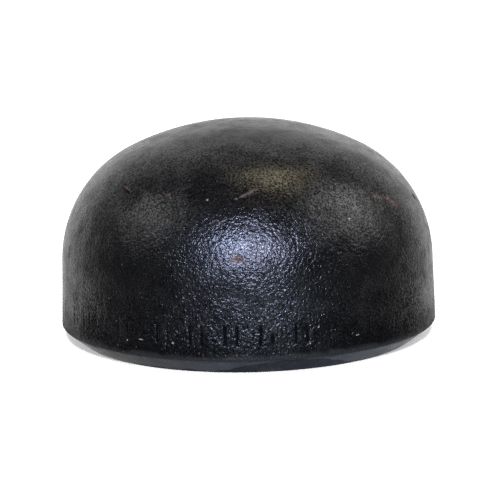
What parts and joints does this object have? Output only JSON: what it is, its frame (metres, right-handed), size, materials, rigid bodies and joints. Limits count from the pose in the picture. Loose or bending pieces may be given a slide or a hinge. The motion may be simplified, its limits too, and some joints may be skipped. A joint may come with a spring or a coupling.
{
  "type": "pipe cap",
  "caption": "Butt-weld pipe cap: domed pressed steel shell with a bevelled weld end that closes off the end of a pipe.",
  "frame": {"origin": "centre of the weld end, on the plane of its land, where the cap meets the pipe", "axes": "+Z along the cap's axis from the weld end to the top of the crown; X and Y are free, because the cap is a body of revolution"},
  "size_m": [0.0888, 0.0888, 0.051],
  "materials": {
    "black_lacquer": "glossy bitumen-black lacquer over grainy hot-pressed steel, ground bare-looking at the weld bevel, a few rust flecks"
  },
  "bodies": {
    "root": {"cap_body": "black_lacquer"}
  },
  "joints": []
}
